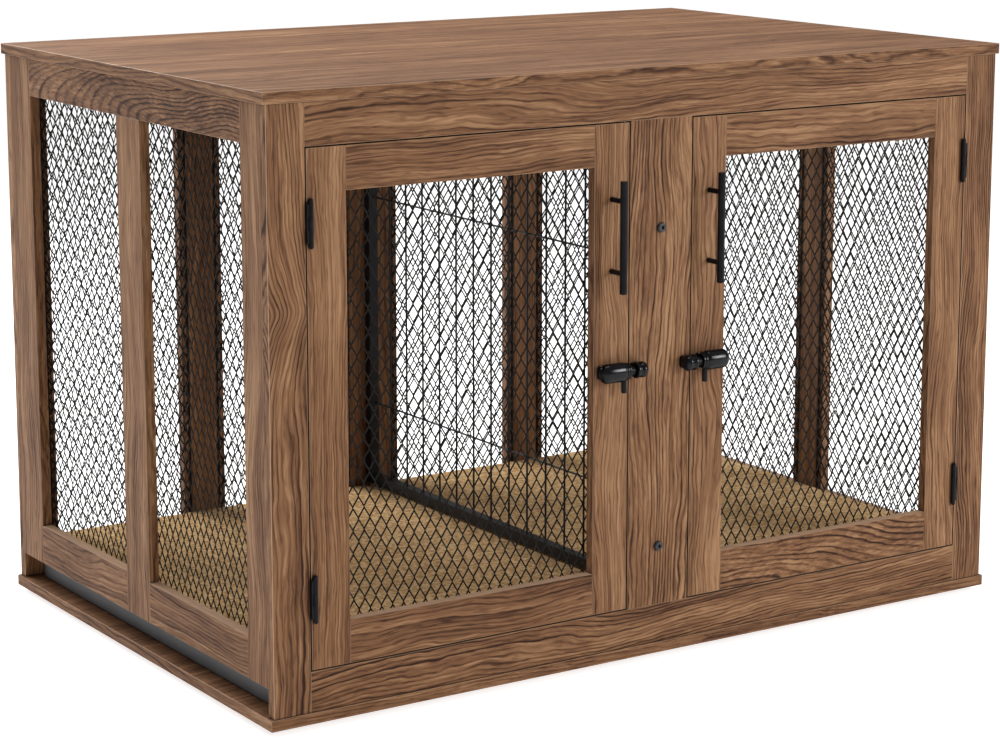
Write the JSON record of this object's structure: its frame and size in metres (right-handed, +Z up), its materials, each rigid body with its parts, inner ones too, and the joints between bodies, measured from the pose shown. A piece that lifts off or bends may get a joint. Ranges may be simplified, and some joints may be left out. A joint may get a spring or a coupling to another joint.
{
  "type": "dog crate",
  "caption": "Furniture-style wooden dog crate with diamond mesh windows, twin hinged doors with barrel bolts, a wire divider and a slide-out tray.",
  "frame": {"origin": "on the ground at the centre of the crate's bounding box, handles and bolt heads included", "axes": "+Z up, +X to the right of someone facing the doors, so the doors face -Y and the tray slides out towards -X"},
  "size_m": [1.2, 0.82, 0.814],
  "materials": {
    "walnut": "satin",
    "mesh_wire": "satin",
    "divider_steel": "satin",
    "black_hardware": "gloss",
    "handle": "satin",
    "fasteners": "satin",
    "tray_plastic": "matte",
    "foot_plastic": "matte",
    "floor_pad": "matte"
  },
  "bodies": {
    "carcass": {"base_panel": "walnut", "divider_bolts": "fasteners", "divider_panel": "divider_steel", "feet": "foot_plastic", "floor_board": "walnut", "floor_cleats": "walnut", "front_bottom_rail": "walnut", "front_centre_stile": "walnut", "front_left_post": "walnut", "front_right_post": "walnut", "front_top_rail": "walnut", "hinge_frame_leaves": "black_hardware", "hinge_pins": "black_hardware", "latch_keepers": "black_hardware", "left_floor_pad": "floor_pad", "left_side_bottom_rails": "walnut", "left_side_front_stile": "walnut", "left_side_mesh": "mesh_wire", "left_side_mid_stile": "walnut", "left_side_rear_stile": "walnut", "left_side_top_rail": "walnut", "rear_bottom_rail": "walnut", "rear_centre_stile": "walnut", "rear_left_mesh": "mesh_wire", "rear_left_mid_stile": "walnut", "rear_left_post": "walnut", "rear_right_mesh": "mesh_wire", "rear_right_mid_stile": "walnut", "rear_right_post": "walnut", "rear_top_rail": "walnut", "right_floor_pad": "floor_pad", "right_side_bottom_rails": "walnut", "right_side_front_stile": "walnut", "right_side_mesh": "mesh_wire", "right_side_mid_stile": "walnut", "right_side_rear_stile": "walnut", "right_side_top_rail": "walnut", "top_panel": "walnut"},
    "left_door": {"left_door_bottom_rail": "walnut", "left_door_handle": "handle", "left_door_handle_screws": "fasteners", "left_door_hinge_leaves": "black_hardware", "left_door_inner_stile": "walnut", "left_door_latch_housing": "black_hardware", "left_door_mesh": "mesh_wire", "left_door_outer_stile": "walnut", "left_door_top_rail": "walnut"},
    "right_door": {"right_door_bottom_rail": "walnut", "right_door_handle": "handle", "right_door_handle_screws": "fasteners", "right_door_hinge_leaves": "black_hardware", "right_door_inner_stile": "walnut", "right_door_latch_housing": "black_hardware", "right_door_mesh": "mesh_wire", "right_door_outer_stile": "walnut", "right_door_top_rail": "walnut"},
    "left_bolt": {"left_latch_bolt": "black_hardware"},
    "right_bolt": {"right_latch_bolt": "black_hardware"},
    "tray": {"tray": "tray_plastic"}
  },
  "joints": [
    {"name": "left_door_hinge", "type": "hinge", "parent": "carcass", "child": "left_door", "pos_m": [-0.5355, -0.3815, 0.41], "axis": [0, 0, -1], "range_deg": [0, 170]},
    {"name": "right_door_hinge", "type": "hinge", "parent": "carcass", "child": "right_door", "pos_m": [0.5355, -0.3815, 0.41], "axis": [0, 0, 1], "range_deg": [0, 170]},
    {"name": "left_latch_slide", "type": "slide", "parent": "left_door", "child": "left_bolt", "axis": [1, 0, 0], "range_m": [0, 0.013]},
    {"name": "right_latch_slide", "type": "slide", "parent": "right_door", "child": "right_bolt", "axis": [-1, 0, 0], "range_m": [0, 0.013]},
    {"name": "tray_slide", "type": "slide", "parent": "carcass", "child": "tray", "axis": [-1, 0, 0], "range_m": [0, 1.18]}
  ]
}
